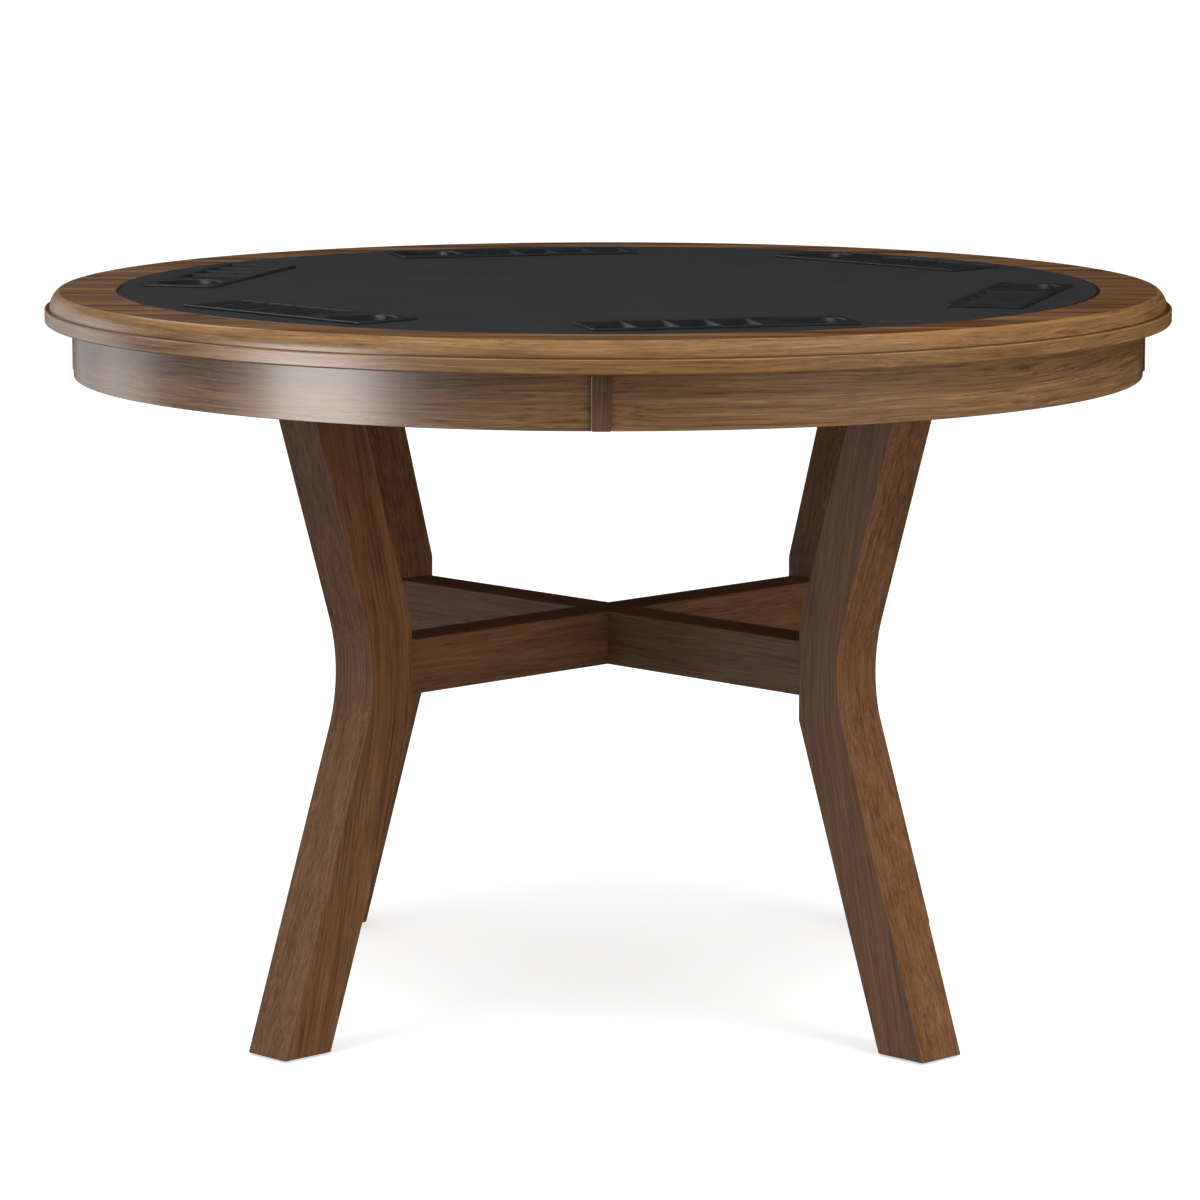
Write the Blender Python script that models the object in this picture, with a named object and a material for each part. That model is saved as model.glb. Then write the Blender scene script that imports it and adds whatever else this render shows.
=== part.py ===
"""Round gaming table with a lift-out playing insert.

A veneered rim with a moulded edge sits on a curved apron. Two crossed rails under the rim
carry four K-shaped legs, which crossed lower stretchers tie together at the waist. The insert
is a round board with a cloth playing surface and six moulded station trays, each with four
chip grooves and a cup holder. It lies on the rails and on a ledge inside the apron, and lifts
straight out.

Metres, +Z up. The origin is on the floor under the centre of the table. Angles are degrees
anticlockwise from +X, seen from above. Radial means along +X before a piece is turned to its
own angle, and tangential means along +Y.
"""
import math

import bmesh
import bpy
from mathutils import Matrix, Vector

# Clearance between neighbouring pieces, and how far a cutter runs past what it cuts
GAP = 0.0003
CUT_OVERSHOOT = 0.0100

# Sides of the round pieces, and steps of the curved outlines
TURNS = 72
QUARTER_STEPS = TURNS // 4
LEDGE_STEPS = 14
SPLICE_STEPS = 4
CROWN_STEPS = 4
BAND_STEPS = 4
SMALL_ROUND_STEPS = 3
WAIST_STEPS = 8
GROOVE_STEPS = 10
TROUGH_STEPS = 8
CUP_SIDES = 28
GLIDE_SIDES = 16
BOLT_SIDES = 12
SCREW_SIDES = 10
PIN_SIDES = 8
SHARP_ANGLE = 30

# Rim
RIM_RADIUS = 0.6096
RIM_TOP = 0.7776
RIM_BOTTOM = 0.7445
RIM_INNER_RADIUS = 0.5322
RIM_FLAT_RADIUS = 0.5940
RIM_ARRIS = 0.0008

# Edge moulding: a convex upper part, a small step and a rounded lower band
MOULDING_STEP_RADIUS = 0.6041
MOULDING_STEP_TOP = 0.7603
MOULDING_STEP_BOTTOM = 0.7598
MOULDING_BAND_ROUND = 0.0015
MOULDING_FOOT_ROUND = 0.0025

# Apron
APRON_OUTER_RADIUS = 0.5793
APRON_THICKNESS = 0.0200
APRON_HEIGHT = 0.0580
BATTEN_WIDTH = 0.0200
BATTEN_PROUD = 0.0038
SPLICE_ANGLE = 9.2
SPLICE_DEPTH = 0.0180
SPLICE_HEIGHT = 0.0330

# Ledge and upper cross rails
LEDGE_INNER_RADIUS = 0.5050
LEDGE_THICKNESS = 0.0187
LEDGE_END_ANGLE = 4.1
RAIL_WIDTH = 0.0700
RAIL_HEIGHT = 0.0380

# Legs: straight members that meet at a rounded waist
LEG_THICKNESS = 0.0594
LEG_FOOT_HEIGHT = 0.0023
LEG_WAIST_RADIUS = 0.36285
LEG_WAIST_HEIGHT = 0.3921
LEG_WAIST_ROUND = 0.190
LEG_UPPER_SLOPE = 0.3145
LEG_LOWER_SLOPE = 0.3468
LEG_INNER_FACE = 0.3165
LEG_INNER_FACE_LOW = 0.3420
LEG_INNER_FACE_HIGH = 0.4470

# Lower stretchers
STRETCHER_THICKNESS = 0.0500
STRETCHER_BOTTOM = 0.3674
STRETCHER_HEIGHT = 0.0582

# Fastenings
BOLT_RADII = (0.412, 0.436)
BOLT_SHANK_RADIUS = 0.0040
BOLT_HEAD_RADIUS = 0.0070
BOLT_HEAD_HEIGHT = 0.0060
BOLT_LENGTH = 0.0640
COUNTERBORE_DEPTH = 0.0080
COUNTERBORE_CLEARANCE = 0.0015
TENON_LENGTH = 0.0500
TENON_WIDTH = 0.0360
TENON_THICKNESS = 0.0120
SCREW_RING_RADIUS = 0.5460
SCREW_SHANK_RADIUS = 0.0022
SCREW_HEAD_RADIUS = 0.0045
SCREW_LENGTH = 0.0400
SCREW_POINT = 0.0040
HOLE_CLEARANCE = 0.0004

# Foot glides
GLIDE_RADIUS = 0.0150
GLIDE_THICKNESS = 0.0020
GLIDE_PIN_RADIUS = 0.0015
GLIDE_PIN_LENGTH = 0.0180

# Insert
INSERT_RADIUS = 0.5310
INSERT_BAND_THICKNESS = 0.0020
INSERT_BAND_ROUND = 0.0016
UNDERSIDE_THICKNESS = 0.0015
CLOTH_THICKNESS = 0.0020

# Station trays
STATION_ANGLES = tuple(45 + 60 * index for index in range(6))
STATION_RADIUS = 0.4450
TRAY_LENGTH = 0.2800
TRAY_WIDTH = 0.0820
TRAY_CORNER = 0.0060
TRAY_FLANGE = 0.0020
TRAY_WALL = 0.0020
POCKET_LENGTH = 0.2740
POCKET_WIDTH = 0.0760
POCKET_CORNER = 0.0040
GROOVE_RADIUS = 0.0205
GROOVE_DEPTH = 0.0165
GROOVE_LENGTH = 0.0710
GROOVE_PITCH = 0.0435
GROOVE_FIRST = -0.1125
GROOVE_COUNT = 4
CUP_OFFSET = 0.0995
CUP_RADIUS = 0.0345
CUP_DEPTH = 0.0280

# Worked out from the driving dimensions
LEG_ANGLES = (45, 135, 225, 315)
BATTEN_ANGLES = (0, 90, 180, 270)
STRUCTURE_TOP = RIM_BOTTOM - GAP
APRON_INNER_RADIUS = APRON_OUTER_RADIUS - APRON_THICKNESS
INSIDE_APRON_RADIUS = APRON_INNER_RADIUS * math.cos(math.pi / TURNS) - GAP
APRON_BOTTOM = STRUCTURE_TOP - APRON_HEIGHT
RAIL_BOTTOM = STRUCTURE_TOP - RAIL_HEIGHT
RAIL_HALF_LENGTH = math.sqrt(INSIDE_APRON_RADIUS ** 2 - (RAIL_WIDTH / 2) ** 2)
LEG_TOP = RAIL_BOTTOM - GAP
LEDGE_BOTTOM = STRUCTURE_TOP - LEDGE_THICKNESS
STRETCHER_TOP = STRETCHER_BOTTOM + STRETCHER_HEIGHT
STRETCHER_HALF_LENGTH = LEG_INNER_FACE - GAP
BOLT_SEAT = STRUCTURE_TOP - COUNTERBORE_DEPTH
INSERT_BOTTOM = RIM_BOTTOM
CORE_BOTTOM = INSERT_BOTTOM + UNDERSIDE_THICKNESS + GAP
CLOTH_BOTTOM = RIM_TOP - CLOTH_THICKNESS
CORE_TOP = CLOTH_BOTTOM - GAP
CORE_RADIUS = INSERT_RADIUS - INSERT_BAND_THICKNESS - GAP
TRAY_BOTTOM = RIM_TOP + GAP
TRAY_TOP = TRAY_BOTTOM + TRAY_FLANGE
TRAY_MIDDLE = TRAY_TOP - TRAY_FLANGE / 2
GROOVE_CENTRE_HEIGHT = TRAY_TOP - GROOVE_DEPTH + GROOVE_RADIUS
CUP_FLOOR = TRAY_TOP - CUP_DEPTH

# Both turn an outline drawn in the XY plane: UPRIGHT stands it in the XZ plane, to be extruded
# along Y, and ACROSS_X stands it in the YZ plane, to be extruded along X.
UPRIGHT = Matrix.Rotation(math.radians(90), 4, "X")
ACROSS_X = Matrix(((0, 0, 1, 0), (1, 0, 0, 0), (0, 1, 0, 0), (0, 0, 0, 1)))

# Colours
WOOD_TOP = (0.200, 0.095, 0.038)
WOOD_EDGE = (0.290, 0.150, 0.060)
WOOD_APRON = (0.210, 0.105, 0.050)
WOOD_LEG = (0.120, 0.060, 0.028)
WOOD_INNER = (0.420, 0.300, 0.170)
FIBREBOARD = (0.360, 0.250, 0.140)
ZINC = (0.550, 0.530, 0.480)
DARK_ZINC = (0.300, 0.300, 0.310)
DARK_NYLON = (0.050, 0.045, 0.040)
BLACK_CLOTH = (0.018, 0.018, 0.019)
BLACK_BAND = (0.020, 0.020, 0.021)
BLACK_PLASTIC = (0.022, 0.022, 0.024)


def material(name, colour, roughness, metallic=0.0):
    """Return a Principled material of one colour."""
    result = bpy.data.materials.new(name)
    result.use_nodes = True
    shader = result.node_tree.nodes["Principled BSDF"]
    shader.inputs["Base Color"].default_value = (*colour, 1.0)
    shader.inputs["Roughness"].default_value = roughness
    shader.inputs["Metallic"].default_value = metallic
    result.diffuse_color = (*colour, 1.0)
    return result


def arc(centre, radius, start, end, steps):
    """Points on a circular arc, from the start angle to the end angle, both included."""
    points = []
    for index in range(steps + 1):
        angle = math.radians(start + (end - start) * index / steps)
        points.append((centre[0] + radius * math.cos(angle), centre[1] + radius * math.sin(angle)))
    return points


def rounded_corner(before, corner, after, radius, steps):
    """Points of the arc that rounds the corner between two straight lines."""
    corner = Vector(corner)
    to_before = (Vector(before) - corner).normalized()
    to_after = (Vector(after) - corner).normalized()
    half_angle = to_before.angle(to_after) / 2
    centre = corner + (to_before + to_after).normalized() * radius / math.sin(half_angle)
    tangent = radius / math.tan(half_angle)
    start = corner + to_before * tangent - centre
    sweep = start.angle_signed(corner + to_after * tangent - centre)
    points = []
    for index in range(steps + 1):
        turned_arm = start.copy()
        turned_arm.rotate(Matrix.Rotation(-sweep * index / steps, 2))
        points.append(tuple(centre + turned_arm))
    return points


def rounded_rectangle(length_x, length_y, radius):
    """Outline of a rectangle with rounded corners, centred on the origin."""
    half_x = length_x / 2 - radius
    half_y = length_y / 2 - radius
    points = []
    for start, sign_x, sign_y in ((0, 1, 1), (90, -1, 1), (180, -1, -1), (270, 1, -1)):
        centre = (sign_x * half_x, sign_y * half_y)
        points += arc(centre, radius, start, start + 90, SMALL_ROUND_STEPS)
    return points


def add_prism(mesh, outline, low, high, place=Matrix.Identity(4)):
    """Add an outline in the local XY plane, extruded from one local height to another."""
    bottom = [mesh.verts.new(place @ Vector((x, y, low))) for x, y in outline]
    top = [mesh.verts.new(place @ Vector((x, y, high))) for x, y in outline]
    mesh.faces.new(bottom)
    mesh.faces.new(top)
    for index in range(len(outline)):
        following = (index + 1) % len(outline)
        mesh.faces.new((bottom[index], bottom[following], top[following], top[index]))


def add_turned(mesh, profile, sides, place=Matrix.Identity(4)):
    """Add a solid of revolution. The profile of (radius, height) starts and ends on the axis."""
    rings = []
    for radius, height in profile:
        if radius == 0:
            rings.append([mesh.verts.new(place @ Vector((0, 0, height)))])
            continue
        ring = []
        for index in range(sides):
            angle = 2 * math.pi * index / sides
            point = Vector((radius * math.cos(angle), radius * math.sin(angle), height))
            ring.append(mesh.verts.new(place @ point))
        rings.append(ring)
    for lower, upper in zip(rings, rings[1:]):
        for index in range(sides):
            following = (index + 1) % sides
            if len(lower) == 1:
                mesh.faces.new((lower[0], upper[index], upper[following]))
            elif len(upper) == 1:
                mesh.faces.new((lower[index], lower[following], upper[0]))
            else:
                mesh.faces.new((lower[index], lower[following], upper[following], upper[index]))


def add_sector(mesh, profile, start, sweep, steps):
    """Add a closed (radius, height) outline swept about the table's axis."""
    full_turn = sweep == 360
    rings = []
    for index in range(steps if full_turn else steps + 1):
        angle = math.radians(start + sweep * index / steps)
        rings.append([mesh.verts.new((radius * math.cos(angle), radius * math.sin(angle), height))
                      for radius, height in profile])
    if full_turn:
        rings.append(rings[0])
    else:
        mesh.faces.new(rings[0])
        mesh.faces.new(rings[-1])
    for ring, next_ring in zip(rings, rings[1:]):
        for index in range(len(profile)):
            following = (index + 1) % len(profile)
            mesh.faces.new((ring[index], ring[following], next_ring[following], next_ring[index]))


def finished_mesh(mesh, name, finish):
    """Turn a bmesh into a mesh with outward faces, smooth where it is round."""
    bmesh.ops.recalc_face_normals(mesh, faces=mesh.faces)
    data = bpy.data.meshes.new(name)
    mesh.to_mesh(data)
    mesh.free()
    if finish:
        data.materials.append(finish)
    data.shade_smooth()
    data.set_sharp_from_angle(angle=math.radians(SHARP_ANGLE))
    return data


def turned_point(angle, radius, height):
    """Point at an angle about the table's axis."""
    return Matrix.Rotation(math.radians(angle), 4, "Z") @ Vector((radius, 0, height))


def add_object(name, data, parent=None, angle=0.0):
    """Link a mesh to the scene under its parent, turned about the table's axis."""
    result = bpy.data.objects.new(name, data)
    bpy.context.collection.objects.link(result)
    result.rotation_euler.z = math.radians(angle)
    result.parent = parent
    return result


def combined(name, base, steps):
    """Return the mesh of a base after a list of (operation, mesh) Boolean steps."""
    work = add_object(name, base)
    tools = []
    for operation, tool_data in steps:
        tool = add_object(f"{name}_tool", tool_data)
        tool.hide_render = True
        tool.display_type = "WIRE"
        cut = work.modifiers.new(operation.lower(), "BOOLEAN")
        cut.operation = operation
        cut.solver = "EXACT"
        cut.object = tool
        tools.append(tool)
    graph = bpy.context.evaluated_depsgraph_get()
    result = bpy.data.meshes.new_from_object(work.evaluated_get(graph))
    result.name = name
    for helper in [work, *tools]:
        bpy.data.objects.remove(helper)
    result.shade_smooth()
    result.set_sharp_from_angle(angle=math.radians(SHARP_ANGLE))
    return result


def sector_object(name, profile, start, sweep, steps, finish, parent):
    """Make one swept piece."""
    mesh = bmesh.new()
    add_sector(mesh, profile, start, sweep, steps)
    return add_object(name, finished_mesh(mesh, name, finish), parent)


def rectangle(low_radius, high_radius, low, high):
    """Closed rectangular profile for a swept piece."""
    return [(low_radius, low), (high_radius, low), (high_radius, high), (low_radius, high)]


def gap_angle(radius):
    """Half of the angle that a clearance between two swept pieces takes at a radius."""
    return math.degrees(GAP / 2 / radius)


def moulding_profile():
    """Cross-section of the rim's edge moulding."""
    inner = RIM_FLAT_RADIUS + GAP
    crown_rise = RIM_TOP - MOULDING_STEP_TOP
    crown_run = MOULDING_STEP_RADIUS - inner
    crown_radius = (crown_run ** 2 + crown_rise ** 2) / (2 * crown_run)
    crown_centre = (MOULDING_STEP_RADIUS - crown_radius, MOULDING_STEP_TOP)
    crown_start = math.degrees(math.asin(crown_rise / crown_radius))
    band_centre = (RIM_RADIUS - MOULDING_BAND_ROUND, MOULDING_STEP_BOTTOM - MOULDING_BAND_ROUND)
    foot_centre = (RIM_RADIUS - MOULDING_FOOT_ROUND, RIM_BOTTOM + MOULDING_FOOT_ROUND)
    profile = [(inner, RIM_BOTTOM)]
    profile += arc(foot_centre, MOULDING_FOOT_ROUND, -90, 0, SMALL_ROUND_STEPS)
    profile += arc(band_centre, MOULDING_BAND_ROUND, 0, 90, BAND_STEPS)
    profile.append((MOULDING_STEP_RADIUS, MOULDING_STEP_BOTTOM))
    profile += arc(crown_centre, crown_radius, 0, crown_start, CROWN_STEPS)
    return profile


def build_rim(parent):
    """Make the flat rim, with pilot holes for its screws, and the edge moulding round it."""
    veneer = material("rim_veneer", WOOD_TOP, roughness=0.35)
    profile = [
        (RIM_INNER_RADIUS, RIM_BOTTOM),
        (RIM_FLAT_RADIUS, RIM_BOTTOM),
        (RIM_FLAT_RADIUS, RIM_TOP),
        (RIM_INNER_RADIUS + RIM_ARRIS, RIM_TOP),
        (RIM_INNER_RADIUS, RIM_TOP - RIM_ARRIS),
    ]
    mesh = bmesh.new()
    add_sector(mesh, profile, 0, 360, TURNS)
    ring = finished_mesh(mesh, "rim_ring", veneer)
    add_object("rim_panel", combined("rim_panel", ring, [("DIFFERENCE", screw_holes())]), parent)

    edge_wood = material("rim_edge_wood", WOOD_EDGE, roughness=0.38)
    trim = gap_angle(RIM_RADIUS)
    for number, angle in enumerate(LEG_ANGLES, 1):
        sector_object(f"edge_moulding_{number}", moulding_profile(), angle + trim, 90 - 2 * trim,
                      QUARTER_STEPS, edge_wood, parent)


def build_apron(parent):
    """Make the curved apron, the battens over its joints and the blocks behind them."""
    apron_wood = material("apron_veneer", WOOD_APRON, roughness=0.36)
    batten_wood = material("batten_wood", WOOD_APRON, roughness=0.40)
    block_wood = material("block_wood", WOOD_INNER, roughness=0.60)
    batten_outer = APRON_OUTER_RADIUS + BATTEN_PROUD
    end_angle = math.degrees(math.asin((BATTEN_WIDTH / 2 + GAP) / APRON_INNER_RADIUS))
    batten = rectangle(APRON_INNER_RADIUS, batten_outer, -BATTEN_WIDTH / 2, BATTEN_WIDTH / 2)
    shell = rectangle(APRON_INNER_RADIUS, APRON_OUTER_RADIUS, APRON_BOTTOM, STRUCTURE_TOP)
    block_top = LEDGE_BOTTOM - GAP
    block = rectangle(INSIDE_APRON_RADIUS - SPLICE_DEPTH, INSIDE_APRON_RADIUS,
                      block_top - SPLICE_HEIGHT, block_top)
    for number, angle in enumerate(BATTEN_ANGLES, 1):
        sector_object(f"apron_{number}", shell, angle + end_angle, 90 - 2 * end_angle,
                      QUARTER_STEPS, apron_wood, parent)

        mesh = bmesh.new()
        add_prism(mesh, batten, APRON_BOTTOM, STRUCTURE_TOP)
        add_object(f"apron_batten_{number}", finished_mesh(mesh, "batten", batten_wood),
                   parent, angle)

        sector_object(f"splice_block_{number}", block, angle - SPLICE_ANGLE / 2, SPLICE_ANGLE,
                      SPLICE_STEPS, block_wood, parent)


def screw_profile(grow):
    """Countersunk screw, point up, from its head's face, grown all round by a clearance."""
    head = SCREW_HEAD_RADIUS + grow
    shank = SCREW_SHANK_RADIUS + grow
    return [
        (0, -grow),
        (head, -grow),
        (shank, head - shank - grow),
        (shank, SCREW_LENGTH - SCREW_POINT),
        (0, SCREW_LENGTH + grow),
    ]


def screw_holes():
    """Cutter for the four rim screws' holes."""
    mesh = bmesh.new()
    for angle in BATTEN_ANGLES:
        turn = Matrix.Rotation(math.radians(angle), 4, "Z")
        place = turn @ Matrix.Translation((SCREW_RING_RADIUS, 0, LEDGE_BOTTOM))
        add_turned(mesh, screw_profile(HOLE_CLEARANCE), SCREW_SIDES, place)
    return finished_mesh(mesh, "screw_holes", None)


def build_ledge(parent):
    """Make the ledge between the rails, and the screws that pull the rim down on to it."""
    ledge_wood = material("ledge_wood", WOOD_INNER, roughness=0.60)
    steel = material("screw_steel", ZINC, roughness=0.35, metallic=1.0)
    profile = rectangle(LEDGE_INNER_RADIUS, INSIDE_APRON_RADIUS, LEDGE_BOTTOM, STRUCTURE_TOP)
    for number, angle in enumerate(LEG_ANGLES, 1):
        mesh = bmesh.new()
        sweep = 90 - 2 * LEDGE_END_ANGLE
        add_sector(mesh, profile, angle + LEDGE_END_ANGLE, sweep, LEDGE_STEPS)
        name = f"ledge_{number}"
        blank = finished_mesh(mesh, name, ledge_wood)
        add_object(name, combined(name, blank, [("DIFFERENCE", screw_holes())]), parent)

    mesh = bmesh.new()
    add_turned(mesh, screw_profile(0.0), SCREW_SIDES)
    screw_data = finished_mesh(mesh, "rim_screw", steel)
    for number, angle in enumerate(BATTEN_ANGLES, 1):
        screw = add_object(f"rim_screw_{number}", screw_data, parent, angle)
        screw.location = turned_point(angle, SCREW_RING_RADIUS, LEDGE_BOTTOM)


def lapped_board(name, half_length, width, low, high, notch_below, finish):
    """Board along X with a half-lap notch at its middle."""
    middle = (low + high) / 2
    half_notch = width / 2 + GAP
    if notch_below:
        cut = middle + GAP / 2
        outline = [(-half_length, low), (-half_notch, low), (-half_notch, cut), (half_notch, cut),
                   (half_notch, low), (half_length, low), (half_length, high), (-half_length, high)]
    else:
        cut = middle - GAP / 2
        outline = [(-half_length, low), (half_length, low), (half_length, high), (half_notch, high),
                   (half_notch, cut), (-half_notch, cut), (-half_notch, high), (-half_length, high)]
    mesh = bmesh.new()
    add_prism(mesh, outline, -width / 2, width / 2, UPRIGHT)
    return finished_mesh(mesh, name, finish)


def bolt_profile(grow):
    """Socket-head bolt from its tip to its head's top, grown all round by a clearance."""
    shank = BOLT_SHANK_RADIUS + grow
    head = BOLT_HEAD_RADIUS + grow
    return [
        (0, -BOLT_LENGTH - grow),
        (shank, -BOLT_LENGTH - grow),
        (shank, GAP - grow),
        (head, GAP - grow),
        (head, GAP + BOLT_HEAD_HEIGHT),
        (0, GAP + BOLT_HEAD_HEIGHT),
    ]


def rail_bolt_holes():
    """Cutter for the counterbored bolt holes at both ends of a rail."""
    shank = BOLT_SHANK_RADIUS + HOLE_CLEARANCE
    bore = BOLT_HEAD_RADIUS + COUNTERBORE_CLEARANCE
    above = COUNTERBORE_DEPTH + CUT_OVERSHOOT
    profile = [(0, -RAIL_HEIGHT), (shank, -RAIL_HEIGHT), (shank, 0), (bore, 0), (bore, above),
               (0, above)]
    mesh = bmesh.new()
    for radius in BOLT_RADII:
        for side in (-1, 1):
            place = Matrix.Translation((side * radius, 0, BOLT_SEAT))
            add_turned(mesh, profile, BOLT_SIDES, place)
    return finished_mesh(mesh, "rail_bolt_holes", None)


def build_rails(parent):
    """Make the two upper cross rails and the bolts that hold the legs to them."""
    rail_wood = material("rail_wood", WOOD_INNER, roughness=0.60)
    bolt_steel = material("bolt_steel", DARK_ZINC, roughness=0.40, metallic=1.0)
    for name, angle, notch_below in (("cross_rail_a", 45, True), ("cross_rail_b", 135, False)):
        blank = lapped_board(name, RAIL_HALF_LENGTH, RAIL_WIDTH, RAIL_BOTTOM, STRUCTURE_TOP,
                             notch_below, rail_wood)
        drilled = combined(name, blank, [("DIFFERENCE", rail_bolt_holes())])
        add_object(name, drilled, parent, angle)

    mesh = bmesh.new()
    add_turned(mesh, bolt_profile(0.0), BOLT_SIDES)
    bolt_data = finished_mesh(mesh, "leg_bolt", bolt_steel)
    for number, angle in enumerate(LEG_ANGLES, 1):
        for letter, radius in zip("ab", BOLT_RADII):
            bolt = add_object(f"leg_bolt_{number}{letter}", bolt_data, parent, angle)
            bolt.location = turned_point(angle, radius, BOLT_SEAT)


def add_tenon(mesh, grow, side=1):
    """Add a loose tenon across the joint at a leg's inner face, grown by a clearance."""
    length = TENON_LENGTH + 2 * grow
    outline = rounded_rectangle(TENON_THICKNESS + 2 * grow, TENON_WIDTH + 2 * grow,
                                TENON_THICKNESS / 2 + grow - GAP)
    middle = (STRETCHER_BOTTOM + STRETCHER_TOP) / 2
    place = Matrix.Translation((side * LEG_INNER_FACE, 0, middle)) @ ACROSS_X
    add_prism(mesh, outline, -length / 2, length / 2, place)


def leg_foot_centre():
    """Radius of the middle of a leg's foot."""
    foot = LEG_FOOT_HEIGHT
    outer = LEG_WAIST_RADIUS + LEG_LOWER_SLOPE * (LEG_WAIST_HEIGHT - foot)
    inner = LEG_INNER_FACE + LEG_LOWER_SLOPE * (LEG_INNER_FACE_LOW - foot)
    return (outer + inner) / 2


def leg_outline():
    """Outline of a leg, radius against height."""
    foot = LEG_FOOT_HEIGHT
    outer_foot = LEG_WAIST_RADIUS + LEG_LOWER_SLOPE * (LEG_WAIST_HEIGHT - foot)
    outer_top = LEG_WAIST_RADIUS + LEG_UPPER_SLOPE * (LEG_TOP - LEG_WAIST_HEIGHT)
    inner_top = LEG_INNER_FACE + LEG_UPPER_SLOPE * (LEG_TOP - LEG_INNER_FACE_HIGH)
    inner_foot = LEG_INNER_FACE + LEG_LOWER_SLOPE * (LEG_INNER_FACE_LOW - foot)
    outline = [(outer_foot, foot)]
    outline += rounded_corner((outer_foot, foot), (LEG_WAIST_RADIUS, LEG_WAIST_HEIGHT),
                              (outer_top, LEG_TOP), LEG_WAIST_ROUND, WAIST_STEPS)
    outline += [
        (outer_top, LEG_TOP),
        (inner_top, LEG_TOP),
        (LEG_INNER_FACE, LEG_INNER_FACE_HIGH),
        (LEG_INNER_FACE, LEG_INNER_FACE_LOW),
        (inner_foot, foot),
    ]
    return outline


def leg_holes():
    """Cutter for a leg's bolt holes, tenon mortise and glide pin hole."""
    mesh = bmesh.new()
    for radius in BOLT_RADII:
        place = Matrix.Translation((radius, 0, BOLT_SEAT))
        add_turned(mesh, bolt_profile(HOLE_CLEARANCE), BOLT_SIDES, place)
    add_tenon(mesh, HOLE_CLEARANCE)
    pin = GLIDE_PIN_RADIUS + HOLE_CLEARANCE
    top = GLIDE_THICKNESS + GLIDE_PIN_LENGTH + HOLE_CLEARANCE
    profile = [(0, 0), (pin, 0), (pin, top), (0, top)]
    add_turned(mesh, profile, PIN_SIDES, Matrix.Translation((leg_foot_centre(), 0, 0)))
    return finished_mesh(mesh, "leg_holes", None)


def build_legs(parent):
    """Make the legs and their foot glides."""
    leg_wood = material("leg_wood", WOOD_LEG, roughness=0.38)
    nylon = material("glide_nylon", DARK_NYLON, roughness=0.55)
    mesh = bmesh.new()
    add_prism(mesh, leg_outline(), -LEG_THICKNESS / 2, LEG_THICKNESS / 2, UPRIGHT)
    blank = finished_mesh(mesh, "leg_blank", leg_wood)
    leg_data = combined("leg", blank, [("DIFFERENCE", leg_holes())])

    chamfer = GLIDE_THICKNESS / 2
    mesh = bmesh.new()
    glide = [
        (0, 0),
        (GLIDE_RADIUS - chamfer, 0),
        (GLIDE_RADIUS, chamfer),
        (GLIDE_RADIUS, GLIDE_THICKNESS),
        (GLIDE_PIN_RADIUS, GLIDE_THICKNESS),
        (GLIDE_PIN_RADIUS, GLIDE_THICKNESS + GLIDE_PIN_LENGTH - 2 * GLIDE_PIN_RADIUS),
        (0, GLIDE_THICKNESS + GLIDE_PIN_LENGTH),
    ]
    add_turned(mesh, glide, GLIDE_SIDES, Matrix.Translation((leg_foot_centre(), 0, 0)))
    glide_data = finished_mesh(mesh, "glide", nylon)
    for number, angle in enumerate(LEG_ANGLES, 1):
        add_object(f"leg_{number}", leg_data, parent, angle)
        add_object(f"foot_glide_{number}", glide_data, parent, angle)


def stretcher_mortises():
    """Cutter for the mortises in both ends of a stretcher."""
    mesh = bmesh.new()
    for side in (-1, 1):
        add_tenon(mesh, HOLE_CLEARANCE, side)
    return finished_mesh(mesh, "stretcher_mortises", None)


def build_stretchers(parent):
    """Make the crossed lower stretchers and the tenons that join them to the legs."""
    stretcher_wood = material("stretcher_wood", WOOD_LEG, roughness=0.40)
    tenon_wood = material("tenon_wood", WOOD_INNER, roughness=0.60)
    for name, angle, notch_below in (("stretcher_a", 45, True), ("stretcher_b", 135, False)):
        blank = lapped_board(name, STRETCHER_HALF_LENGTH, STRETCHER_THICKNESS, STRETCHER_BOTTOM,
                             STRETCHER_TOP, notch_below, stretcher_wood)
        mortised = combined(name, blank, [("DIFFERENCE", stretcher_mortises())])
        add_object(name, mortised, parent, angle)

    mesh = bmesh.new()
    add_tenon(mesh, 0.0)
    tenon_data = finished_mesh(mesh, "stretcher_tenon", tenon_wood)
    for number, angle in enumerate(LEG_ANGLES, 1):
        add_object(f"stretcher_tenon_{number}", tenon_data, parent, angle)


def station_pockets():
    """Cutter for the six tray pockets, through the cloth and the core."""
    mesh = bmesh.new()
    outline = rounded_rectangle(POCKET_WIDTH, POCKET_LENGTH, POCKET_CORNER)
    low = CORE_BOTTOM - CUT_OVERSHOOT
    high = RIM_TOP + CUT_OVERSHOOT
    for angle in STATION_ANGLES:
        turn = Matrix.Rotation(math.radians(angle), 4, "Z")
        place = turn @ Matrix.Translation((STATION_RADIUS, 0, 0))
        add_prism(mesh, outline, low, high, place)
    return finished_mesh(mesh, "station_pockets", None)


def add_disc(mesh, radius, low, high):
    """Add a flat round board."""
    add_prism(mesh, arc((0, 0), radius, 0, 360 - 360 / TURNS, TURNS - 1), low, high)


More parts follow.
